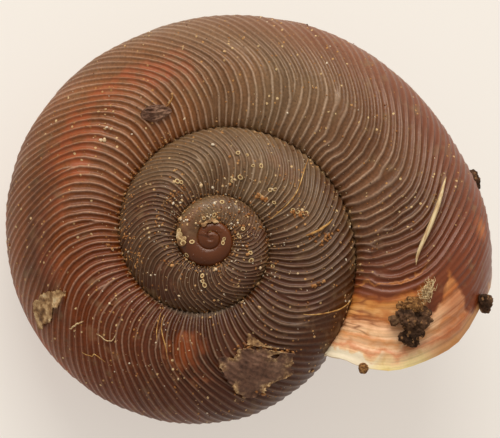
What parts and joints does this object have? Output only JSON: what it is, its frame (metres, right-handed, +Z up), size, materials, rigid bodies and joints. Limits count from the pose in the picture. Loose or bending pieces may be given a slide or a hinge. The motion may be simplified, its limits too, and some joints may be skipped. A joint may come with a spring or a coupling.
{
  "type": "land snail shell",
  "caption": "Low-spired, ribbed, right-handed spiral snail shell with an open mouth and umbilicus, lying on its base with litter stuck to it.",
  "frame": {"origin": "on the surface that the shell lies on, in the middle of its footprint", "axes": "+Z up, towards the spire; the mouth faces -Y; +X towards the lip, along the shell's greatest width"},
  "size_m": [0.0264, 0.0234, 0.0127],
  "materials": {
    "shell": "dark chestnut outer skin, satin, with fine growth ribs",
    "soil": "dry dark soil",
    "leaf": "rotted leaf, matte",
    "pale_leaf": "pale dry leaf, matte",
    "straw": "dry straw"
  },
  "bodies": {
    "root": {"shell": "shell", "soil_clod": "soil", "seed_husk": "soil", "rim_crumb": "soil", "side_crumb": "soil", "leaf_scrap": "leaf", "pale_flake": "pale_leaf", "straw": "straw"}
  },
  "joints": []
}
